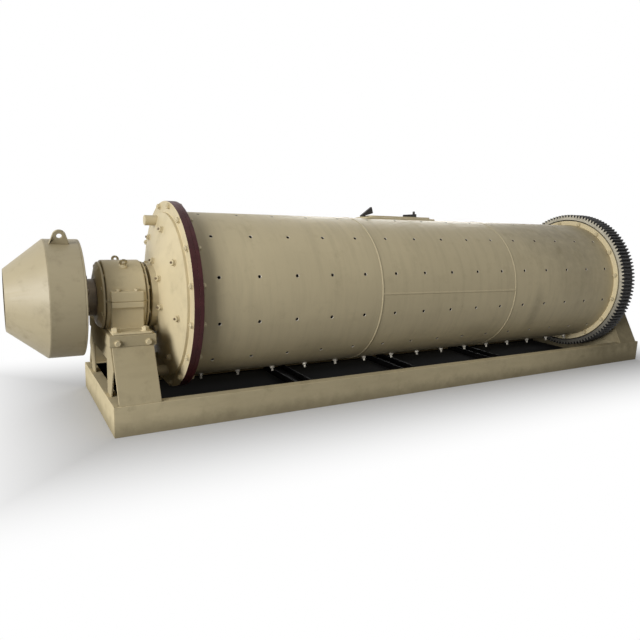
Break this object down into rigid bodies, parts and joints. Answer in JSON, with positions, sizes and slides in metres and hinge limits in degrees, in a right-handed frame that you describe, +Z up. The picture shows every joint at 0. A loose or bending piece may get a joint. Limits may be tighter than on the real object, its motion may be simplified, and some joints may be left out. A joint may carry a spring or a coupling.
{
  "type": "ball mill",
  "caption": "Long horizontal ball mill: welded drum with bolted heads and girth gear, conical drum feeder, trunnion bearings on sloped pedestals and a channel base.",
  "frame": {"origin": "middle of the base at ground level, on the underside of the middle tie", "axes": "+X along the mill axis from the feed end to the discharge end, +Y to the rear, +Z up"},
  "size_m": [6.251, 1.464, 1.562],
  "materials": {
    "cream_paint": "semi-gloss cream enamel, dusty",
    "maroon_primer": "matt dark maroon primer",
    "gear_steel": "dark greasy cast steel",
    "trunnion_steel": "dark oiled machined steel",
    "dark_steel": "dark unpainted steel"
  },
  "bodies": {
    "frame": {"base_cross_beams": "cream_paint", "base_end_beam_discharge": "cream_paint", "base_end_beam_feed": "cream_paint", "base_side_beam_front": "cream_paint", "base_side_beam_rear": "cream_paint", "base_ties": "cream_paint", "discharge_bearing_cover_inner": "cream_paint", "discharge_bearing_cover_outer": "cream_paint", "discharge_bearing_eye_bolts": "cream_paint", "discharge_bearing_housing_lower": "cream_paint", "discharge_bearing_housing_upper": "cream_paint", "discharge_pedestal_cap": "cream_paint", "discharge_pedestal_front_plate": "cream_paint", "discharge_pedestal_inner_plate": "cream_paint", "discharge_pedestal_outer_plate": "cream_paint", "discharge_pedestal_rear_plate": "cream_paint", "feed_bearing_cover_inner": "cream_paint", "feed_bearing_cover_outer": "cream_paint", "feed_bearing_eye_bolts": "cream_paint", "feed_bearing_housing_lower": "cream_paint", "feed_bearing_housing_upper": "cream_paint", "feed_pedestal_cap": "cream_paint", "feed_pedestal_front_plate": "cream_paint", "feed_pedestal_inner_plate": "cream_paint", "feed_pedestal_outer_plate": "cream_paint", "feed_pedestal_rear_plate": "cream_paint"},
    "drum": {"discharge_head": "cream_paint", "discharge_head_pins": "cream_paint", "discharge_trunnion": "trunnion_steel", "feed_head": "cream_paint", "feed_head_pins": "cream_paint", "feed_trunnion": "trunnion_steel", "feeder_back_plate": "cream_paint", "feeder_cone": "cream_paint", "feeder_drum": "cream_paint", "feeder_lug": "cream_paint", "girth_gear": "gear_steel", "manhole_clamps": "dark_steel", "manhole_cover": "cream_paint", "manhole_frame": "cream_paint", "shell_course_discharge": "cream_paint", "shell_course_feed": "cream_paint", "shell_course_middle": "cream_paint", "shell_flange_discharge": "cream_paint", "shell_flange_feed": "maroon_primer"}
  },
  "joints": [
    {"name": "drum_spin", "type": "hinge", "parent": "frame", "child": "drum", "pos_m": [0, 0, 0.83], "axis": [1, 0, 0], "continuous": true}
  ]
}
